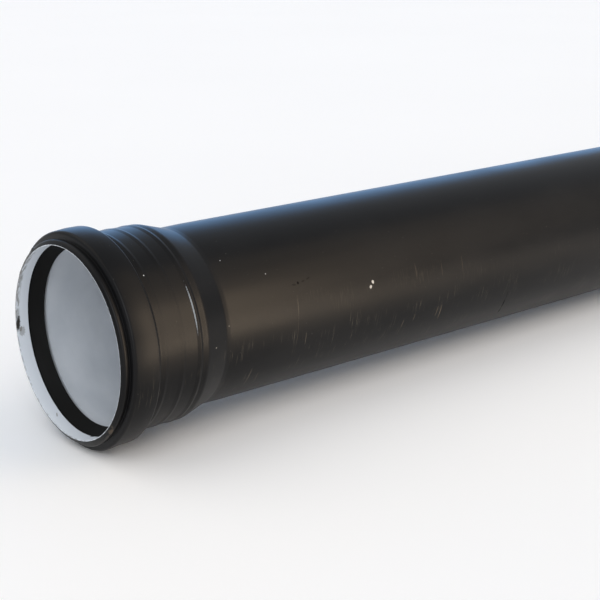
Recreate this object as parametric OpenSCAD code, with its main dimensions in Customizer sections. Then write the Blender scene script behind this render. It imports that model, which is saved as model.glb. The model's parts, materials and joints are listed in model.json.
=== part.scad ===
// Polypropylene drain pipe with a push-fit socket and its rubber lip seal, lying on its side.
// Lengths are in millimetres. The mouth of the socket is at -X, the plain end at +X and Z is up.
// The origin is on the floor under the middle of the pipe.

/* [Pipe] */
// Outside diameter of the pipe and of its plain end
pipe_od = 110; // [75:1:160]
// Wall thickness of the pipe
pipe_wall = 3.4; // [2.5:0.1:5]
// Laying length, from the plain end to the bottom of the socket
laying_length = 1000; // [250:50:3000]
// Length of the bevel on the plain end
bevel_length = 6; // [2:0.5:12]
// Angle of that bevel to the pipe's axis
bevel_angle = 15; // [10:1:20]

/* [Socket] */
// Depth of the socket, from its mouth to the bottom
socket_depth = 57; // [50:0.5:90]
// Gap round a plain end inside the socket, on the radius
spigot_clear = 0.4; // [0.2:0.05:0.8]
// Wall thickness of the socket's barrel
socket_wall = 4; // [3:0.1:5]
// Length of the taper between the socket and the pipe
taper_length = 16.3; // [10:0.1:25]
// How far the outside of the taper lies behind its inside
taper_shift = 0.5; // [0.3:0.1:2]
// Length of the short cone at the foot of the taper
foot_length = 3.2; // [2:0.1:6]
// Height of that cone, on the radius
foot_rise = 0.25; // [0.1:0.05:0.5]
// How far the pipe is necked in behind that cone, on the radius
neck_depth = 0.3; // [0.1:0.05:0.6]
// Length over which that neck runs out
neck_length = 14.6; // [10:0.1:40]

/* [Mouth] */
// Gap round a plain end inside the mouth, on the radius
mouth_clear = 1.7; // [1.2:0.1:3]
// Wall thickness of the lip at the mouth
lip_wall = 3; // [2.6:0.1:4.5]
// Length of the lip in front of the bead
lip_length = 4.9; // [4:0.1:8]
// Width of the flat edge round the mouth
lip_land = 0.7; // [0.5:0.1:1.2]
// How far the front of the lip leans back outside that edge
lip_lean = 1.3; // [0.5:0.1:2]
// How far the lip falls off towards the bead, on the radius
lip_fall = 0.5; // [0.2:0.1:0.8]

/* [Bead] */
// Depth of the seal's groove below the socket's bore
groove_depth = 5.4; // [4.5:0.1:8]
// Width of the groove's floor
groove_width = 9.1; // [8:0.1:16]
// Wall thickness over the groove
bead_wall = 3.6; // [3:0.1:5]
// Wall in front of the groove, along the axis
front_wall = 3.4; // [3:0.1:6]
// Wall behind the groove's floor, along the axis
back_wall = 3.6; // [2:0.1:5]
// Axial run of the bead's front flank
front_run = 0.5; // [0.3:0.1:1.5]
// Axial run of the bead's back flank
back_run = 2.4; // [1.2:0.1:4]
// How much lower the bead is at its front than at its crest, on the radius
bead_lean = 0.9; // [0.8:0.05:1.2]
// How much lower the bead is at its back than at its crest, on the radius
bead_fall = 0.15; // [0.1:0.05:0.4]

/* [Forming ribs] */
// Distance from the bead to the first rib
rib_start = 4.5; // [4:0.1:10]
// Distance from one rib to the next
rib_pitch = 11.9; // [8:0.1:16]
// Height of a rib
rib_rise = 0.3; // [0.1:0.05:0.5]
// Height of the last rib, next to the shoulder
last_rib_rise = 0.4; // [0.2:0.05:0.6]
// Height of the rolled shoulder above the barrel
shoulder_rise = 0.3; // [0.1:0.05:0.5]

/* [Seal] */
// Gap between the seal and the walls of its groove
seal_gap = 0.3; // [0.2:0.05:0.5]
// Thickness of the heel that sits on the groove's floor
heel_thickness = 1.8; // [1.4:0.1:2.4]
// Height of the lip's root above the socket's bore
lip_root = 2.2; // [2:0.1:2.8]
// Thickness of the lip at its tip
lip_tip = 1.5; // [1:0.1:1.8]
// Gap between the lip, pushed back, and a plain end, on the radius
lip_clear = 0.2; // [0.15:0.05:0.35]

/* [Hidden] */
$fn = 96;

// Straight pieces that a rounded corner is drawn with
corner_steps = 4;

// How far the rounding of each kind of corner reaches along its sides
mouth_ease = 0.2;
lip_ease = 1.4;
valley_ease = 0.3;
nose_ease = 1.8;
bead_ease = 1;
rib_ease = 0.3;
groove_ease = 0.3;
shoulder_ease = 1.2;
taper_ease = 0.8;
seal_ease = 0.4;

// Radii
pipe_r = pipe_od / 2;
bore_r = pipe_r - pipe_wall;
socket_r = pipe_r + spigot_clear;
barrel_r = socket_r + socket_wall;
groove_r = socket_r + groove_depth;
bead_r = groove_r + bead_wall;
mouth_r = pipe_r + mouth_clear;
lip_r = mouth_r + lip_wall;
bevel_r = pipe_r - bevel_length * tan(bevel_angle);

// Places along the axis, from the mouth
groove_lead = 0.6;
groove_tail = 2.1;
crest_share = 0.6;
groove_edge_x = lip_length + front_wall;
groove_front_x = groove_edge_x + groove_lead;
groove_back_x = groove_front_x + groove_width;
barrel_bore_x = groove_back_x + groove_tail;
bead_front_x = lip_length + front_run;
crest_x = groove_front_x + crest_share * groove_width;
bead_back_x = groove_back_x + back_wall;
barrel_x = bead_back_x + back_run;
shoulder_x = socket_depth + taper_shift;
foot_x = shoulder_x + taper_length;
neck_x = foot_x + foot_length;
total_length = socket_depth + laying_length;

// A rib leans gently at the front and steeply at the back
rib_front = 2.4;
rib_back = 1.6;
shoulder_front = 3.5;
rib_x = barrel_x + rib_start;
rib_room = shoulder_x - shoulder_front - rib_back - rib_x;
rib_count = floor(rib_room / rib_pitch) + 1;

// The seal's lip runs back past its heel
notch_depth = 4;
tip_reach = 0.1;
heel_x = groove_front_x + seal_gap;
heel_end_x = groove_back_x - seal_gap;
heel_r = groove_r - seal_gap;
root_r = socket_r + lip_root;
tip_x = groove_back_x + tip_reach;
tip_r = pipe_r + lip_clear;

function flat(p) = [p[0], p[1]];
function towards(a, b) = (flat(b) - flat(a)) / norm(flat(b) - flat(a));

// One corner of an outline: a point [along, radius, ease], rounded off between its neighbours
function corner(before, p, after) =
    p[2] == 0 ? [flat(p)] :
    let (start = flat(p) + p[2] * towards(p, before), end = flat(p) + p[2] * towards(p, after))
    [for (i = [0 : corner_steps])
        let (t = i / corner_steps)
        (1 - t) * (1 - t) * start + 2 * t * (1 - t) * flat(p) + t * t * end];

// A closed outline with its corners rounded
function rounded(points) =
    let (n = len(points))
    [for (i = [0 : n - 1])
        each corner(points[(i + n - 1) % n], points[i], points[(i + 1) % n])];

// An outline of points [along, radius, ease], turned round the pipe's axis
module turned(points) {
    rotate([0, 90, 0])
        rotate_extrude()
            polygon([for (p = rounded(points)) [p[1], p[0]]]);
}

// Moves a piece from the mouth's centre to its place on the floor
module placed() {
    translate([-total_length / 2, 0, bead_r]) children();
}

// The ribs that forming leaves on the barrel
function rib_points() =
    [for (i = [0 : rib_count - 1])
        let (x = rib_x + i * rib_pitch, rise = i == rib_count - 1 ? last_rib_rise : rib_rise)
        each [
            [x - rib_front, barrel_r, rib_ease],
            [x, barrel_r + rise, rib_ease],
            [x + rib_back, barrel_r, rib_ease]
        ]];

// The outside of the pipe, from the mouth to the plain end
function outside_points() = concat(
    [
        [0, mouth_r + lip_land, mouth_ease],
        [lip_lean, lip_r, lip_ease],
        [lip_length, lip_r - lip_fall, valley_ease],
        [bead_front_x, bead_r - bead_lean, nose_ease],
        [crest_x, bead_r, 0],
        [bead_back_x, bead_r - bead_fall, bead_ease],
        [barrel_x, barrel_r, bead_ease]
    ],
    rib_points(),
    [
        [shoulder_x - shoulder_front, barrel_r, shoulder_ease],
        [shoulder_x, barrel_r + shoulder_rise, shoulder_ease],
        [foot_x, pipe_r - neck_depth + foot_rise, taper_ease],
        [neck_x, pipe_r - neck_depth, taper_ease],
        [neck_x + neck_length, pipe_r, 0],
        [total_length - bevel_length, pipe_r, 0],
        [total_length, bevel_r, 0]
    ]);

// The inside, from the plain end back to the mouth
function inside_points() = [
    [total_length, bore_r, 0],
    [socket_depth + taper_length, bore_r, taper_ease],
    [socket_depth, socket_r, 0],
    [barrel_bore_x, socket_r, groove_ease],
    [groove_back_x, groove_r, groove_ease],
    [groove_front_x, groove_r, groove_ease],
    [groove_edge_x, mouth_r, groove_ease],
    [0, mouth_r, mouth_ease]
];

// Pipe and socket, extruded and formed in one piece
module pipe() {
    color("#25272a")
        placed()
            turned(concat(outside_points(), inside_points()));
}

// Rubber lip seal in the bead's groove, its lip pushed back as a plain end leaves it
module seal_ring() {
    color("#171718")
        placed()
            turned([
                [heel_x, heel_r, seal_ease],
                [heel_end_x, heel_r, seal_ease],
                [heel_end_x, heel_r - heel_thickness, seal_ease],
                [heel_end_x - notch_depth, heel_r - heel_thickness, seal_ease],
                [tip_x, tip_r + lip_tip, seal_ease],
                [tip_x, tip_r, seal_ease],
                [heel_x, root_r, seal_ease]
            ]);
}

pipe();
seal_ring();
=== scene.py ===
import json
import math

import bmesh
import bpy
from bpy.props import FloatProperty, FloatVectorProperty, IntProperty, PointerProperty, StringProperty
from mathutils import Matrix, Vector


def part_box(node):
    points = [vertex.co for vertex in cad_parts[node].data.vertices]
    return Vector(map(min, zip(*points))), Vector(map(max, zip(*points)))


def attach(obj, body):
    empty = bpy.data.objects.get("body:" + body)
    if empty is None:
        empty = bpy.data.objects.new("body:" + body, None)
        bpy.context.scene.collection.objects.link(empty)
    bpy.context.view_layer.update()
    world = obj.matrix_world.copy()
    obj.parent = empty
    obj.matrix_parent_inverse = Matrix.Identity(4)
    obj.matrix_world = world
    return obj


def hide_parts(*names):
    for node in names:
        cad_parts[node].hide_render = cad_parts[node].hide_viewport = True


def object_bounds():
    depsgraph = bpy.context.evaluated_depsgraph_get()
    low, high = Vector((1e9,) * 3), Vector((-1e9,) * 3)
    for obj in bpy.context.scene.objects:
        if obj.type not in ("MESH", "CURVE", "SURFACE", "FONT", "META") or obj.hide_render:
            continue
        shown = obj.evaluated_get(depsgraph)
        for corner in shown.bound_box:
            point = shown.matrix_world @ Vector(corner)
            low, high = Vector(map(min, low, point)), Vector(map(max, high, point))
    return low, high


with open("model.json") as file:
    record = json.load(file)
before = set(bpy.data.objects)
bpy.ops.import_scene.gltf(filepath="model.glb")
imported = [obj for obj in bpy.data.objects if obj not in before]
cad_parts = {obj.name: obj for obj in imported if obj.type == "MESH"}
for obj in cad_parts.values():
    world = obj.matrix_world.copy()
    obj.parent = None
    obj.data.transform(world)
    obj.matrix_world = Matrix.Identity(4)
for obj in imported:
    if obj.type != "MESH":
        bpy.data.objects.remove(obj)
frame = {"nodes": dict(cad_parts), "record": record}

CAD_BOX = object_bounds()

bl_info = {
    "name": "Drain Pipe",
    "version": (1, 0, 0),
    "blender": (4, 5, 0),
    "location": "View3D > Sidebar > Drain Pipe",
    "description": "Dresses a polypropylene drain pipe and its lip seal, and sets the stage for them",
    "category": "Object",
}

MM = 0.001
# Points closer than this are one point
SAME = 0.01 * MM
# Edges of the mesh that turn by more than this stay sharp
SHARP = math.radians(40)
# Width of the camera's sensor in millimetres
SENSOR_WIDTH = 36
# UV map with the surface laid flat: the way round the pipe from its top, and along it from the mouth
FLAT_MAP = "unrolled"
# Sockets of a Mix node for colours: its share, the colour below, the colour above and the result
SHARE, BELOW, ABOVE, MIXED = 0, 6, 7, 2

MOUNTS = {mount["name"]: mount for mount in frame["record"]["mounts"]}
AXIS_Z = MOUNTS["socket"]["pos_m"][2]
PIPE_R = MOUNTS["spigot"]["dims"]["r_mm"] * MM
MOUTH_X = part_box("pipe")[0].x
END_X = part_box("pipe")[1].x
# The CAD model's box holds the widest round that may be drawn
WIDEST_R = min(CAD_BOX[1][1], -CAD_BOX[0][1], CAD_BOX[1][2] - AXIS_Z, AXIS_Z - CAD_BOX[0][2])
# By the lip and the ribs, the socket's outside lies beyond this radius and its inside within it
OUTSIDE_R = PIPE_R + 3 * MM
# How far from an end of the pipe its edges are looked for
END_ZONE = 1 * MM
# How far the lip reaches from the mouth, and where the ribs that fade lie (mm)
LIP_END = 8.0
RIB_ZONE = (25.5, 47.0)

# The seal: how far behind its front the lip's root is looked for, the height over which the lip
# starts to bend, and the longest stretch of its outline between two rings of the mesh
SEAL_ROOT = 0.5 * MM
SEAL_BEND = 1.5 * MM
SEAL_RING = 1 * MM

# Marks on the outside, real ones and one painted highlight: along and turn of the middle, length round
# the pipe, width along it (mm and degrees), slant in degrees and colour. turn is the angle from the top
# towards the camera's side.
MARKS_AND_GLINT = (
    # Flecks of paint
    (189.8, 76.4, 2.6, 2.1, 20, "acaba8"),
    (187.6, 79.3, 2.8, 1.9, -30, "a3a29f"),
    # Scratches
    (128.0, 81.0, 15.0, 0.45, -2, "3d3831"),
    (127.5, 96.0, 16.0, 0.35, 0, "342f29"),
    (134.5, 103.0, 10.0, 0.4, 2, "4d4840"),
    (250.2, 109.8, 10.0, 0.6, -2, "4a4339"),
    (253.8, 111.5, 13.0, 0.65, 2, "524a3f"),
    (219.5, 113.0, 9.0, 0.5, -3, "48423a"),
    (229.0, 110.0, 6.0, 0.5, -3, "443e36"),
    (228.0, 76.0, 11.0, 0.6, 2, "352f29"),
    (251.5, 79.0, 12.0, 0.5, 1, "312c26"),
    (271.0, 79.4, 13.0, 0.5, 1, "312c26"),
    (96.0, 124.0, 18.0, 0.45, -1, "514c44"),
    (103.0, 127.0, 12.0, 0.4, 2, "4c473f"),
    # Specks of grit
    (28.0, 43.0, 0.9, 0.8, 0, "b4b7bb"),
    (84.0, 41.0, 0.8, 0.7, 0, "9ea2a8"),
    (110.0, 56.0, 0.8, 0.7, 0, "8f9092"),
    (76.0, 82.0, 0.8, 0.7, 0, "8d8a84"),
    (64.0, 92.0, 0.9, 0.7, 0, "8d8a84"),
    # The last rib's crest: a painted glint, a highlight painted pale into the colour
    (50.7, 67.0, 27.0, 1.05, 0, "747c84"),
    # The lip, worn low on the camera's side
    (1.2, 133.5, 5.5, 1.9, 0, "463d33"),
    (0.6, 129.5, 2.4, 1.2, 15, "3a342d"),
    (2.3, 136.0, 3.0, 1.0, -20, "36322c"),
    (1.4, 141.0, 8.0, 1.4, 4, "34312c"),
    (1.1, 157.0, 34.0, 2.2, 0, "262523"),
)

# Nicks in the outside, in the same terms: what is left of its shine, as a grey
NICKS = (
    (131.0, 66.0, 1.8, 1.5, 0, "000000"),
    (135.3, 65.6, 1.0, 3.0, 12, "8a8a8a"),
    (139.3, 64.6, 1.0, 3.4, 12, "8a8a8a"),
    (127.8, 66.6, 1.1, 3.6, -8, "8f8f8f"),
    (321.4, 113.0, 8.0, 0.9, 5, "8a8a8a"),
    (322.2, 121.5, 11.0, 1.4, 8, "404040"),
    (323.6, 129.5, 6.0, 1.3, 10, "303030"),
)

# Marks on the light inside, by the mouth, in the same terms
RIM_MARKS = (
    (3.4, -97.5, 6.5, 4.2, 12, "b3b6b9"),
    (2.6, -96.0, 3.6, 2.0, 20, "8b8a87"),
    (1.2, -92.0, 10.0, 3.0, 8, "34322f"),
    (5.2, -156.0, 3.5, 0.7, 25, "85837e"),
    (7.6, 168.0, 5.0, 1.1, 0, "1b1a19"),
)

# Burrs on the lip's edge and a swelling low on the mouth: turn of the middle, height, half width
# and how far it reaches from the mouth (degrees and mm)
BURRS = (
    (-35.0, 0.9, 1.4, 2.5),
    (-58.0, 0.3, 2.0, 2.5),
    (157.0, 1.3, 16.0, 12.0),
)

# Colour of the warm lights
WARM = "ffe5c5"

# Soft boxes far off, so that they light the floor evenly: name, the way to the box, how wide it
# looks in degrees, how bright it leaves a white board that faces it, and its colour
SOFT_BOXES = (
    ("key", (-0.42, 0.45, 0.79), 60, 0.16, "fff5e6"),
    ("front", (-0.55, -0.75, 0.33), 40, 0.217, "ffffff"),
    ("front_high", (-0.50, -0.50, 0.70), 40, 0.182, "ffffff"),
    ("fill_high", (0.50, -0.45, 0.74), 36, 0.095, WARM),
    ("fill", (0.52, -0.72, 0.46), 36, 0.113, WARM),
    ("fill_low", (0.50, -0.85, -0.12), 30, 0.12, WARM),
    ("fill_under", (0.52, -0.78, -0.34), 30, 0.05, WARM),
    ("sky", (0.58, 0.79, 0.16), 40, 0.141, "52b0ff"),
)

# A warm card near the socket: its power in watts, its sides, where it stands and what it faces
CARD_POWER = 5.2
CARD_SIDES = (0.36, 0.82)
CARD_PLACE = (MOUTH_X + 0.56, -0.85, 0.22)
CARD_AIM = (MOUTH_X + 0.1, 0, AXIS_Z)

# The ragged edge of a mark: how fine it is, and where the mark starts to fade and where it is gone.
# The edge is at 1, and the noise that breaks it up adds about 0.5 to that.
RAGGED = 0.8 * MM
FADE_START = 1.1
FADE_END = 1.6


class PipeSettings(bpy.types.PropertyGroup):
    """Sizes and colours of the pipe and its socket."""

    steps: IntProperty(
        name="Steps", description="Facets round the pipe", default=384, min=48, max=720)
    ring_spacing: FloatProperty(
        name="Ring spacing", description="Longest stretch of pipe between two rings of the mesh",
        default=40 * MM, min=1 * MM, unit="LENGTH")
    inner_layer: FloatProperty(
        name="Inner layer", description="Thickness of the light layer that lines the pipe",
        default=0.35 * MM, min=0, unit="LENGTH")
    lip_squeeze: FloatProperty(
        name="Lip squeeze",
        description="How far the lip is pushed in on its far upper side, and out opposite",
        default=0.4 * MM, min=0, unit="LENGTH")
    squeeze_turn: FloatProperty(
        name="Squeeze turn", description="Where the lip is pushed in most, as an angle from the top",
        default=math.radians(-45), subtype="ANGLE")
    rib_fade: FloatProperty(
        name="Rib fade", description="Share of their height that the first ribs lose on the camera's side",
        default=0.75, min=0, max=1, subtype="FACTOR")
    fade_turn: FloatProperty(
        name="Fade turn", description="Middle of that side, as an angle from the top",
        default=math.radians(72), subtype="ANGLE")
    fade_reach: FloatProperty(
        name="Fade reach", description="How far round the ribs fade, to either side",
        default=math.radians(48), subtype="ANGLE")
    outside: StringProperty(
        name="Outside", description="Colour of the outside, as an sRGB hex value", default="0b0b0c")
    haze: StringProperty(
        name="Haze", description="Colour of the outside where handling has dulled it", default="111112")
    lining: StringProperty(
        name="Lining", description="Colour of the inside, as an sRGB hex value", default="c6cbd1")
    lining_haze: StringProperty(
        name="Lining haze", description="Colour of the inside where it is dulled", default="b9bfc6")
    # A lighter copy of the lining: painted light for the band by the mouth, which the opening lights more
    lit_lip_lining: StringProperty(
        name="Lip lining", description="Colour of the inside in front of the seal", default="dde3ea")
    scratch: StringProperty(
        name="Scratch", description="Colour of scratched polypropylene", default="5e5a51")
    scuff: StringProperty(
        name="Scuff", description="Colour of scuffed polypropylene", default="2b2823")
    dust: StringProperty(
        name="Dust", description="Colour of dust on the outside", default="8b8a86")
    grime: StringProperty(
        name="Grime", description="Colour of the dirt on the mouth's edge", default="4a4844")
    scrape: StringProperty(
        name="Scrape", description="Colour of the inside where the mouth is scraped", default="7b7974")


class SealSettings(bpy.types.PropertyGroup):
    """Sizes and colour of the lip seal."""

    steps: IntProperty(
        name="Steps", description="Facets round the seal", default=256, min=48, max=720)
    lip_drop: FloatProperty(
        name="Lip drop", description="How far the free lip stands in from where a pipe pushes it",
        default=2.3 * MM, min=0, unit="LENGTH")
    lip_pull: FloatProperty(
        name="Lip pull", description="How far the free lip's tip lies in front of where a pipe pushes it",
        default=0.7 * MM, min=0, unit="LENGTH")
    colour: StringProperty(
        name="Colour", description="Colour of the rubber, as an sRGB hex value", default="090909")
    bloom: StringProperty(
        name="Bloom", description="Colour of the rubber where it has bloomed", default="0f0f0e")


class StageSettings(bpy.types.PropertyGroup):
    """Floor, lights and camera."""

    lens: FloatProperty(
        name="Lens", description=f"Focal length on a {SENSOR_WIDTH} mm sensor",
        default=79.4, min=10, unit="CAMERA")
    camera_place: FloatVectorProperty(
        name="Camera", description="Where the camera stands, from the centre of the mouth",
        default=(-360.75 * MM, -630.5 * MM, 239.05 * MM), subtype="TRANSLATION", unit="LENGTH")
    camera_aim: FloatVectorProperty(
        name="Aim", description="The way the camera looks",
        default=(0.6207, 0.7299, -0.2864), subtype="DIRECTION")
    floor_size: FloatProperty(
        name="Floor", description="Side of the floor", default=80.0, min=1, unit="LENGTH")
    floor_colour: StringProperty(
        name="Floor colour", description="Colour of the floor, as an sRGB hex value", default="ffffff")
    floor_mottle: StringProperty(
        name="Floor mottle", description="Colour that the floor's paint varies to", default="fcfcfc")
    walls: StringProperty(
        name="Walls", description="Colour of the studio's walls, as an sRGB hex value", default="bfc4cb")


def linear(hex_colour):
    """An sRGB hex value as linear red, green, blue and a full alpha."""
    channels = [int(hex_colour[i:i + 2], 16) / 255 for i in (0, 2, 4)]
    return [c / 12.92 if c <= 0.04045 else ((c + 0.055) / 1.055) ** 2.4 for c in channels] + [1.0]


def add_node(tree, kind, inputs=None, **settings):
    """Adds a node, sets its properties, then its inputs, each to a value or another node's output."""
    node = tree.nodes.new("ShaderNode" + kind)
    for name, value in settings.items():
        setattr(node, name, value)
    for socket, value in (inputs or {}).items():
        if isinstance(value, bpy.types.NodeSocket):
            tree.links.new(value, node.inputs[socket])
        else:
            node.inputs[socket].default_value = value
    return node


def new_material(name):
    """An empty material with its Principled shader already joined to the output."""
    material = bpy.data.materials.new(name)
    material.use_nodes = True
    tree = material.node_tree
    tree.nodes.clear()
    shader = add_node(tree, "BsdfPrincipled")
    add_node(tree, "OutputMaterial", {"Surface": shader.outputs["BSDF"]})
    return material, tree, shader


def around(turn):
    """The way round the surface laid flat, from the top to a turn in degrees."""
    return math.radians(turn) * PIPE_R


def pattern(tree, across, along, low, high, detail=2.0, top=1.0, zones=()):
    """Noise on the surface laid flat, in blotches of the given real size.

    It is stepped softly from 0 at low to top at high, and kept to the zones, each of them a share.
    """
    place = add_node(tree, "UVMap", uv_map=FLAT_MAP)
    scaled = add_node(tree, "VectorMath", {0: place.outputs["UV"], 1: (1 / across, 1 / along, 1)},
                      operation="MULTIPLY")
    noise = add_node(tree, "TexNoise", {"Vector": scaled.outputs["Vector"], "Scale": 1.0,
                                        "Detail": detail})
    step = add_node(tree, "MapRange", {"Value": noise.outputs["Fac"], "From Min": low, "From Max": high,
                                       "To Max": top}, interpolation_type="SMOOTHSTEP")
    share = step.outputs["Result"]
    for zone in zones:
        kept = add_node(tree, "Math", {0: share, 1: zone}, operation="MULTIPLY")
        share = kept.outputs["Value"]
    return share


def stretch(tree, axis, start, full):
    """Goes from 0 at start to 1 at full, round the surface laid flat ("X") or along it ("Y")."""
    place = add_node(tree, "UVMap", uv_map=FLAT_MAP)
    parts = add_node(tree, "SeparateXYZ", {"Vector": place.outputs["UV"]})
    step = add_node(tree, "MapRange", {"Value": parts.outputs[axis], "From Min": start, "From Max": full},
                    interpolation_type="SMOOTHSTEP")
    return step.outputs["Result"]


def spotted(tree, colour, marks):
    """A colour with soft-edged spots laid over it, their edges broken up by noise."""
    place = add_node(tree, "UVMap", uv_map=FLAT_MAP)
    ragged = add_node(tree, "TexNoise", {"Vector": place.outputs["UV"], "Scale": 1 / RAGGED,
                                         "Detail": 1.0})
    for along, turn, length, width, slant, over in marks:
        local = add_node(tree, "Mapping", {
            "Vector": place.outputs["UV"], "Location": (around(turn), along * MM, 0),
            "Rotation": (0, 0, math.radians(slant)), "Scale": (length / 2 * MM, width / 2 * MM, 1),
        }, vector_type="TEXTURE")
        reach = add_node(tree, "VectorMath", {0: local.outputs["Vector"]}, operation="LENGTH")
        broken = add_node(tree, "Math", {0: reach.outputs["Value"], 1: ragged.outputs["Fac"]},
                          operation="ADD")
        inside = add_node(tree, "MapRange", {
            "Value": broken.outputs["Value"], "From Min": FADE_START, "From Max": FADE_END,
            "To Min": 1.0, "To Max": 0.0,
        }, interpolation_type="SMOOTHSTEP")
        layer = add_node(tree, "Mix", {SHARE: inside.outputs["Result"], BELOW: colour,
                                       ABOVE: linear(over)}, data_type="RGBA")
        colour = layer.outputs[MIXED]
    return colour


def polypropylene_outside(settings):
    """Extruded polypropylene, near black: satin from the sizing sleeve, scratched round it by handling."""
    material, tree, shader = new_material("polypropylene, extruded, near black")
    haze = pattern(tree, across=45 * MM, along=90 * MM, low=0.35, high=0.7, detail=4.0)
    # Scratches run round the pipe, low on the camera's side and all over the far side; at their true
    # width they would not show, so they are drawn 0.4 mm wide
    low_side = stretch(tree, "X", start=around(77), full=around(102))
    far_side = stretch(tree, "X", start=around(-20), full=around(-60))
    worn = add_node(tree, "Math", {0: low_side, 1: far_side}, operation="MAXIMUM")
    behind_lip = stretch(tree, "Y", start=6 * MM, full=8 * MM)
    patches = pattern(tree, across=20 * MM, along=30 * MM, low=0.42, high=0.62)
    hairs = pattern(tree, across=22 * MM, along=0.4 * MM, low=0.65, high=0.75, detail=1.0,
                    zones=(patches, worn.outputs["Value"], behind_lip))
    # A row of close, faint scuffs where the pipe was dragged
    scuffs = pattern(tree, across=9 * MM, along=0.9 * MM, low=0.5, high=0.72, top=0.55, zones=(
        patches,
        stretch(tree, "X", start=around(71), full=around(74)),
        stretch(tree, "X", start=around(96), full=around(80)),
        stretch(tree, "Y", start=120 * MM, full=150 * MM),
        stretch(tree, "Y", start=310 * MM, full=270 * MM),
    ))
    # Specks of dust, drawn coarser than they are so that they show
    specks = pattern(tree, across=0.9 * MM, along=0.9 * MM, low=0.84, high=0.9, detail=0.0, top=0.2)
    colour = linear(settings.outside)
    for share, over in ((haze, settings.haze), (hairs, settings.scratch), (scuffs, settings.scuff),
                        (specks, settings.dust)):
        layer = add_node(tree, "Mix", {SHARE: share, BELOW: colour, ABOVE: linear(over)}, data_type="RGBA")
        colour = layer.outputs[MIXED]
    # The marks, among them the painted glint on the last rib, are laid over the colour
    tree.links.new(spotted(tree, colour, MARKS_AND_GLINT), shader.inputs["Base Color"])
    rough = add_node(tree, "MapRange", {"Value": haze, "To Min": 0.29, "To Max": 0.35})
    tree.links.new(rough.outputs["Result"], shader.inputs["Roughness"])
    shader.inputs["IOR"].default_value = 1.24
    # A nick is rough and lies deep, so it has lost its shine
    full_shine = (0.5, 0.5, 0.5, 1.0)
    tree.links.new(spotted(tree, full_shine, NICKS), shader.inputs["Specular IOR Level"])
    # The fine lines of extruding run along the pipe, and they too are drawn coarser than they are
    grain = pattern(tree, across=0.9 * MM, along=60 * MM, low=0.3, high=0.7)
    relief = add_node(tree, "Bump", {"Height": grain, "Strength": 0.04, "Distance": 0.05 * MM})
    tree.links.new(relief.outputs["Normal"], shader.inputs["Normal"])
    return material


def polypropylene_lining(settings):
    """The light grey inner layer of the same pipe: smooth from the die, soft in its gloss."""
    material, tree, shader = new_material("polypropylene, extruded, light grey")
    haze = pattern(tree, across=30 * MM, along=20 * MM, low=0.3, high=0.75, detail=3.0)
    # The lining in front of the seal is painted lighter: painted light where the open mouth lights it more
    # than the shaded bore
    lip = stretch(tree, "Y", start=14 * MM, full=9 * MM)
    # The mouth's edge is scuffed dark, in a ragged line
    edge = pattern(tree, across=3 * MM, along=0.9 * MM, low=0.44, high=0.6, top=0.5,
                   zones=(stretch(tree, "Y", start=0.8 * MM, full=0.1 * MM),))
    # On the far side it is scraped further in
    scrape = pattern(tree, across=4 * MM, along=1.2 * MM, low=0.36, high=0.6, top=0.75, zones=(
        stretch(tree, "Y", start=2.8 * MM, full=1.4 * MM),
        stretch(tree, "X", start=around(-101), full=around(-92)),
        stretch(tree, "X", start=around(-28), full=around(-42)),
    ))
    colour = linear(settings.lining)
    for share, over in ((haze, settings.lining_haze), (lip, settings.lit_lip_lining), (edge, settings.grime),
                        (scrape, settings.scrape)):
        layer = add_node(tree, "Mix", {SHARE: share, BELOW: colour, ABOVE: linear(over)}, data_type="RGBA")
        colour = layer.outputs[MIXED]
    tree.links.new(spotted(tree, colour, RIM_MARKS), shader.inputs["Base Color"])
    rough = add_node(tree, "MapRange", {"Value": haze, "To Min": 0.42, "To Max": 0.5})
    tree.links.new(rough.outputs["Result"], shader.inputs["Roughness"])
    shader.inputs["IOR"].default_value = 1.45
    return material


def seal_rubber(settings):
    """Moulded EPDM rubber: black and matt, with the fine grain of its mould."""
    material, tree, shader = new_material("EPDM rubber, moulded, black")
    bloom = pattern(tree, across=22 * MM, along=9 * MM, low=0.4, high=0.75, detail=3.0)
    colour = add_node(tree, "Mix", {SHARE: bloom, BELOW: linear(settings.colour),
                                    ABOVE: linear(settings.bloom)}, data_type="RGBA")
    tree.links.new(colour.outputs[MIXED], shader.inputs["Base Color"])
    rough = add_node(tree, "MapRange", {"Value": bloom, "To Min": 0.6, "To Max": 0.75})
    tree.links.new(rough.outputs["Result"], shader.inputs["Roughness"])
    shader.inputs["IOR"].default_value = 1.22
    # The grain is drawn coarser than it is, so that it shows
    grain = pattern(tree, across=0.8 * MM, along=0.8 * MM, low=0.3, high=0.7, detail=3.0)
    relief = add_node(tree, "Bump", {"Height": grain, "Strength": 0.1, "Distance": 0.05 * MM})
    tree.links.new(relief.outputs["Normal"], shader.inputs["Normal"])
    return material


def studio_floor(settings):
    """Floor board with matt paint: white, and hardly mottled."""
    material, tree, shader = new_material("floor board, matt paint, pale")
    place = add_node(tree, "TexCoord")
    mottle = add_node(tree, "TexNoise", {"Vector": place.outputs["Object"], "Scale": 1 / (400 * MM),
                                         "Detail": 2.0})
    colour = add_node(tree, "Mix", {SHARE: mottle.outputs["Fac"], BELOW: linear(settings.floor_colour),
                                    ABOVE: linear(settings.floor_mottle)}, data_type="RGBA")
    tree.links.new(colour.outputs[MIXED], shader.inputs["Base Color"])
    shader.inputs["Roughness"].default_value = 0.9
    return material


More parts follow.
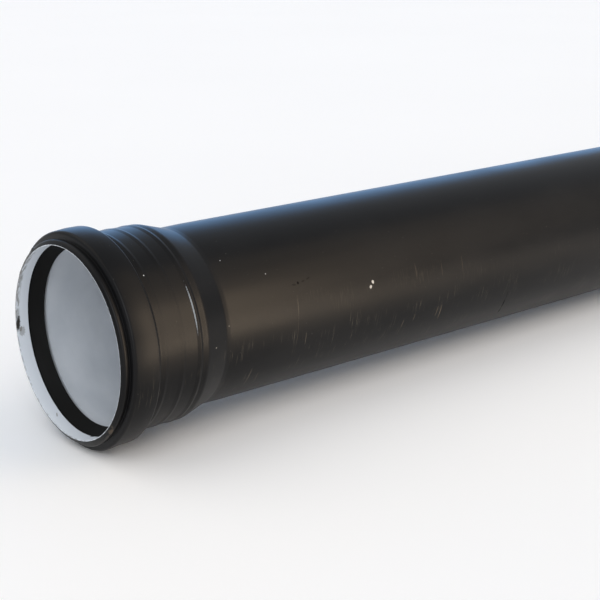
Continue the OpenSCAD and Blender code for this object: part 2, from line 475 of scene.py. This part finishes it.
def section_of(node):
    """The outline of a turned CAD node as points (along, radius), in order round it."""
    flat = bmesh.new()
    flat.from_mesh(frame["nodes"][node].data)
    for vert in flat.verts:
        vert.co = (vert.co.x, 0, math.hypot(vert.co.y, vert.co.z - AXIS_Z))
    bmesh.ops.remove_doubles(flat, verts=flat.verts, dist=SAME)
    start = min(flat.verts, key=lambda vert: (vert.co.x, vert.co.z))
    outline = [start]
    seen = {start}
    while True:
        nexts = [edge.other_vert(outline[-1]) for edge in outline[-1].link_edges]
        nexts = [vert for vert in nexts if vert not in seen]
        if not nexts:
            break
        # Only the first point has two ways on, and there the outline goes up the front
        following = max(nexts, key=lambda vert: vert.co.z - vert.co.x)
        outline.append(following)
        seen.add(following)
    points = [(vert.co.x, min(vert.co.z, WIDEST_R)) for vert in outline]
    if len(points) != len(flat.verts):
        raise RuntimeError(f"the outline of {node} isn't one closed line")
    flat.free()
    return points


def with_rings(points, spacing):
    """The same outline with its long stretches cut into short ones."""
    cut = []
    for here, after in zip(points, points[1:] + points[:1]):
        pieces = max(1, math.ceil(math.dist(here, after) / spacing))
        cut += [tuple(a + (b - a) * i / pieces for a, b in zip(here, after)) for i in range(pieces)]
    return cut


def on_face(here, after, face_x):
    """Whether a stretch of the outline lies on the flat end at face_x."""
    return max(abs(here[0] - face_x), abs(after[0] - face_x)) < SAME


def on_surface(along, radius, turn):
    """A point of the pipe: turn is the angle from the top towards the camera's side."""
    return Vector((along, -radius * math.sin(turn), AXIS_Z + radius * math.cos(turn)))


def turned_mesh(name, points, steps, shape=None, slot_of=None):
    """A closed mesh turned from an outline, with its surface laid flat as the UV map.

    shape moves a point (along, radius, turn) before it is placed, and slot_of gives the material slot
    of each stretch of the outline.
    """
    mesh = bpy.data.meshes.new(name)
    turns = [2 * math.pi * (j / steps - 0.5) for j in range(steps + 1)]
    verts = []
    for along, radius in points:
        for turn in turns[:-1]:
            place = shape(along, radius, turn) if shape else (along, radius)
            verts.append(on_surface(*place, turn))
    count = len(points)
    faces = [(i * steps + j, i * steps + (j + 1) % steps,
              (i + 1) % count * steps + (j + 1) % steps, (i + 1) % count * steps + j)
             for i in range(count) for j in range(steps)]
    mesh.from_pydata(verts, [], faces)
    layer = mesh.uv_layers.new(name=FLAT_MAP)
    for face in mesh.polygons:
        ring, step = divmod(face.index, steps)
        corners = ((ring, step), (ring, step + 1), (ring + 1, step + 1), (ring + 1, step))
        for loop, (i, j) in zip(face.loop_indices, corners):
            run = points[i % count][0] - MOUTH_X
            layer.data[loop].uv = (turns[j] * PIPE_R, run)
        if slot_of:
            face.material_index = slot_of[ring]
    tidy = bmesh.new()
    tidy.from_mesh(mesh)
    bmesh.ops.recalc_face_normals(tidy, faces=tidy.faces)
    tidy.to_mesh(mesh)
    tidy.free()
    for face in mesh.polygons:
        face.use_smooth = True
    mesh.set_sharp_from_angle(angle=SHARP)
    return mesh


def new_object(name, mesh):
    """A new object in the scene."""
    piece = bpy.data.objects.new(name, mesh)
    bpy.context.scene.collection.objects.link(piece)
    return piece


class OBJECT_OT_drain_pipe(bpy.types.Operator):
    """Turn the pipe and its socket from the CAD section, dark outside and light inside"""

    bl_idname = "object.drain_pipe"
    bl_label = "Pipe"

    def execute(self, context):
        settings = context.scene.drain_pipe
        points = section_of("pipe")
        edges = {face_x: min(r for x, r in points if abs(x - face_x) < END_ZONE) + settings.inner_layer
                 for face_x in (MOUTH_X, END_X)}
        points = with_rings(self.with_layer_lines(points, edges), settings.ring_spacing)
        slots = [self.slot(a, b, edges) for a, b in zip(points, points[1:] + points[:1])]
        barrel_r = min(radius for along, radius in points
                       if RIB_ZONE[0] < (along - MOUTH_X) / MM < RIB_ZONE[1] and radius > OUTSIDE_R)

        def shaped(along, radius, turn):
            """The lip slightly out of round, with burrs, and the first ribs faded on one side."""
            run = (along - MOUTH_X) / MM
            if run < LIP_END:
                squeeze = settings.lip_squeeze * (1 - run / LIP_END)
                radius -= squeeze * math.cos(turn - settings.squeeze_turn)
            if run > 0 and radius > OUTSIDE_R:
                for middle, height, half, reach in BURRS:
                    off = (math.degrees(turn) - middle + 180) % 360 - 180
                    if run < reach:
                        radius += height * MM * math.exp(-(off / half) ** 2)
            if RIB_ZONE[0] < run < RIB_ZONE[1] and radius > barrel_r:
                off = min(1, abs(turn - settings.fade_turn) / settings.fade_reach)
                eased = off * off * (3 - 2 * off)
                radius -= (radius - barrel_r) * settings.rib_fade * (1 - eased)
            return along, radius

        mesh = turned_mesh("drain_pipe", points, settings.steps, shape=shaped, slot_of=slots)
        mesh.materials.append(polypropylene_outside(settings))
        mesh.materials.append(polypropylene_lining(settings))
        piece = new_object("drain_pipe", mesh)
        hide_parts("pipe")
        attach(piece, "root")
        return {"FINISHED"}

    @staticmethod
    def with_layer_lines(points, edges):
        """The outline with a point on each end face where the light layer meets the dark one."""
        split = []
        for here, after in zip(points, points[1:] + points[:1]):
            split.append(here)
            for face_x, edge_r in edges.items():
                low, high = sorted((here[1], after[1]))
                if on_face(here, after, face_x) and low < edge_r < high:
                    split.append((face_x, edge_r))
        return split

    @staticmethod
    def slot(here, after, edges):
        """0 for the dark outside and 1 for the light inside, by the way a stretch of the outline runs."""
        for face_x, edge_r in edges.items():
            if on_face(here, after, face_x):
                return 1 if here[1] + after[1] < 2 * edge_r else 0
        return 0 if after[0] > here[0] else 1


class OBJECT_OT_drain_seal(bpy.types.Operator):
    """Turn the rubber seal with its lip standing free"""

    bl_idname = "object.drain_seal"
    bl_label = "Lip seal"

    def execute(self, context):
        settings = context.scene.drain_seal
        points = section_of("seal_ring")
        low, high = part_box("seal_ring")
        root_r = min(radius for along, radius in points if along < low.x + SEAL_ROOT)

        def free(along, radius, turn):
            """The lip let in from where a pipe pushes it, more and more towards its tip."""
            share = (along - low.x) / (high.x - low.x)
            share *= min(1, max(0, (root_r + SEAL_BEND - radius) / SEAL_BEND))
            return along - settings.lip_pull * share ** 2, radius - settings.lip_drop * share

        mesh = turned_mesh("lip_seal", with_rings(points, SEAL_RING), settings.steps, shape=free)
        mesh.materials.append(seal_rubber(settings))
        piece = new_object("lip_seal", mesh)
        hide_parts("seal_ring")
        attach(piece, "root")
        return {"FINISHED"}


class OBJECT_OT_drain_stage(bpy.types.Operator):
    """Lay the floor, light the studio and set the camera"""

    bl_idname = "object.drain_stage"
    bl_label = "Stage"

    def execute(self, context):
        settings = context.scene.drain_stage
        self.lights(context.scene, self.floor(settings))
        self.world(context.scene, settings)
        self.camera(context.scene, settings)
        context.scene.view_settings.view_transform = "Standard"
        return {"FINISHED"}

    @staticmethod
    def floor(settings):
        """A pale floor that the bead and the plain end both touch."""
        half = settings.floor_size / 2
        lean = (AXIS_Z - PIPE_R) / (END_X - MOUTH_X)
        corners = [(x, y, lean * (x - MOUTH_X)) for x, y in
                   ((-half, -half), (half, -half), (half, half), (-half, half))]
        mesh = bpy.data.meshes.new("floor")
        mesh.from_pydata(corners, [], [(0, 1, 2, 3)])
        mesh.materials.append(studio_floor(settings))
        board = new_object("floor", mesh)
        return board

    @staticmethod
    def lights(scene, floor):
        """The soft boxes and the warm card.

        The floor shades neither the card nor a box that stands low, and the card doesn't light the floor.
        """
        open_floor = bpy.data.collections.new("open_floor")
        open_floor.objects.link(floor)
        open_floor.collection_objects[0].light_linking.link_state = "EXCLUDE"
        for name, way, width, level, colour in SOFT_BOXES:
            lamp = bpy.data.lights.new(name, "SUN")
            lamp.energy = math.pi * level
            lamp.angle = math.radians(width)
            lamp.color = linear(colour)[:3]
            stand = bpy.data.objects.new(name, lamp)
            stand.rotation_euler = (-Vector(way)).to_track_quat("-Z", "Y").to_euler()
            if way[2] < 0:
                stand.light_linking.blocker_collection = open_floor
            scene.collection.objects.link(stand)
        card = bpy.data.lights.new("card", "AREA")
        card.energy = CARD_POWER
        card.color = linear(WARM)[:3]
        card.shape = "RECTANGLE"
        card.size, card.size_y = CARD_SIDES
        stand = bpy.data.objects.new("card", card)
        stand.location = CARD_PLACE
        aim = Vector(CARD_AIM) - stand.location
        stand.rotation_euler = aim.to_track_quat("-Z", "Y").to_euler()
        stand.light_linking.receiver_collection = open_floor
        stand.light_linking.blocker_collection = open_floor
        stand.visible_camera = False
        scene.collection.objects.link(stand)

    @staticmethod
    def world(scene, settings):
        """Pale walls all round, which light the studio evenly and show in what is mirrored."""
        scene.world = bpy.data.worlds.new("studio")
        scene.world.use_nodes = True
        tree = scene.world.node_tree
        tree.nodes.clear()
        walls = add_node(tree, "Background", {"Color": linear(settings.walls), "Strength": 1.0})
        add_node(tree, "OutputWorld", {"Surface": walls.outputs["Background"]})

    @staticmethod
    def camera(scene, settings):
        """A camera with the given lens, in its place by the mouth."""
        camera = bpy.data.cameras.new("camera")
        camera.lens = settings.lens
        camera.sensor_width = SENSOR_WIDTH
        camera.sensor_fit = "HORIZONTAL"
        stand = bpy.data.objects.new("camera", camera)
        stand.location = Vector(settings.camera_place) + Vector((MOUTH_X, 0, AXIS_Z))
        stand.rotation_euler = Vector(settings.camera_aim).to_track_quat("-Z", "Y").to_euler()
        scene.collection.objects.link(stand)
        scene.camera = stand


class VIEW3D_PT_drain_pipe(bpy.types.Panel):
    """Lists the pieces, with their settings"""

    bl_label = "Drain Pipe"
    bl_idname = "VIEW3D_PT_drain_pipe"
    bl_space_type = "VIEW_3D"
    bl_region_type = "UI"
    bl_category = "Drain Pipe"

    def draw(self, context):
        for group in GROUPS:
            box = self.layout.box()
            settings = getattr(context.scene, group)
            for name in settings.bl_rna.properties.keys():
                if name not in ("rna_type", "name"):
                    box.prop(settings, name)
            box.operator("object." + group)


# Each group of settings has the name of the operator that it is for
GROUPS = {"drain_pipe": PipeSettings, "drain_seal": SealSettings, "drain_stage": StageSettings}
CLASSES = (*GROUPS.values(), OBJECT_OT_drain_pipe, OBJECT_OT_drain_seal, OBJECT_OT_drain_stage,
           VIEW3D_PT_drain_pipe)


def register():
    """Adds the classes and gives every scene the groups of settings."""
    for cls in CLASSES:
        bpy.utils.register_class(cls)
    for name, group in GROUPS.items():
        setattr(bpy.types.Scene, name, PointerProperty(type=group))


def unregister():
    """Takes both away again."""
    for name in GROUPS:
        delattr(bpy.types.Scene, name)
    for cls in reversed(CLASSES):
        bpy.utils.unregister_class(cls)


def main():
    """Builds the pieces and the stage."""
    register()
    bpy.ops.object.drain_pipe()
    bpy.ops.object.drain_seal()
    bpy.ops.object.drain_stage()


if __name__ == "__main__":
    main()
